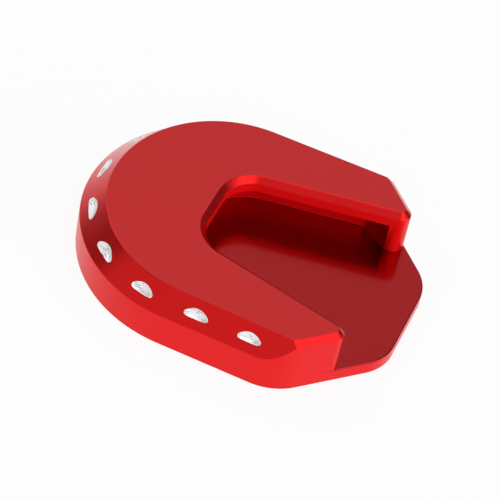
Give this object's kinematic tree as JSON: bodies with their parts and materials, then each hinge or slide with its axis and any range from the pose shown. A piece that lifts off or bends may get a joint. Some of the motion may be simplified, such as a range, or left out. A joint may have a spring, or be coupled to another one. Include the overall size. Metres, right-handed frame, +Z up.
{
  "type": "kickstand foot enlarger",
  "caption": "Horseshoe-shaped red anodised clamp plate screwed to a flat base plate; a side stand's foot is held in its undercut pocket, so the parked stand rests on a larger pad.",
  "frame": {"origin": "on the underside, below the middle of the outline's bounding box", "axes": "+X from the round rear to the open front of the slot, +Y to the left arm seen from the rear, +Z up from the ground"},
  "size_m": [0.0998, 0.08, 0.019],
  "materials": {
    "red_anodised": "satin red anodising, with bare bright metal in the scallops",
    "screw_steel": "plain stainless steel"
  },
  "bodies": {
    "root": {"clamp_plate": "red_anodised", "base_plate": "red_anodised", "base_screws": "screw_steel"}
  },
  "joints": []
}
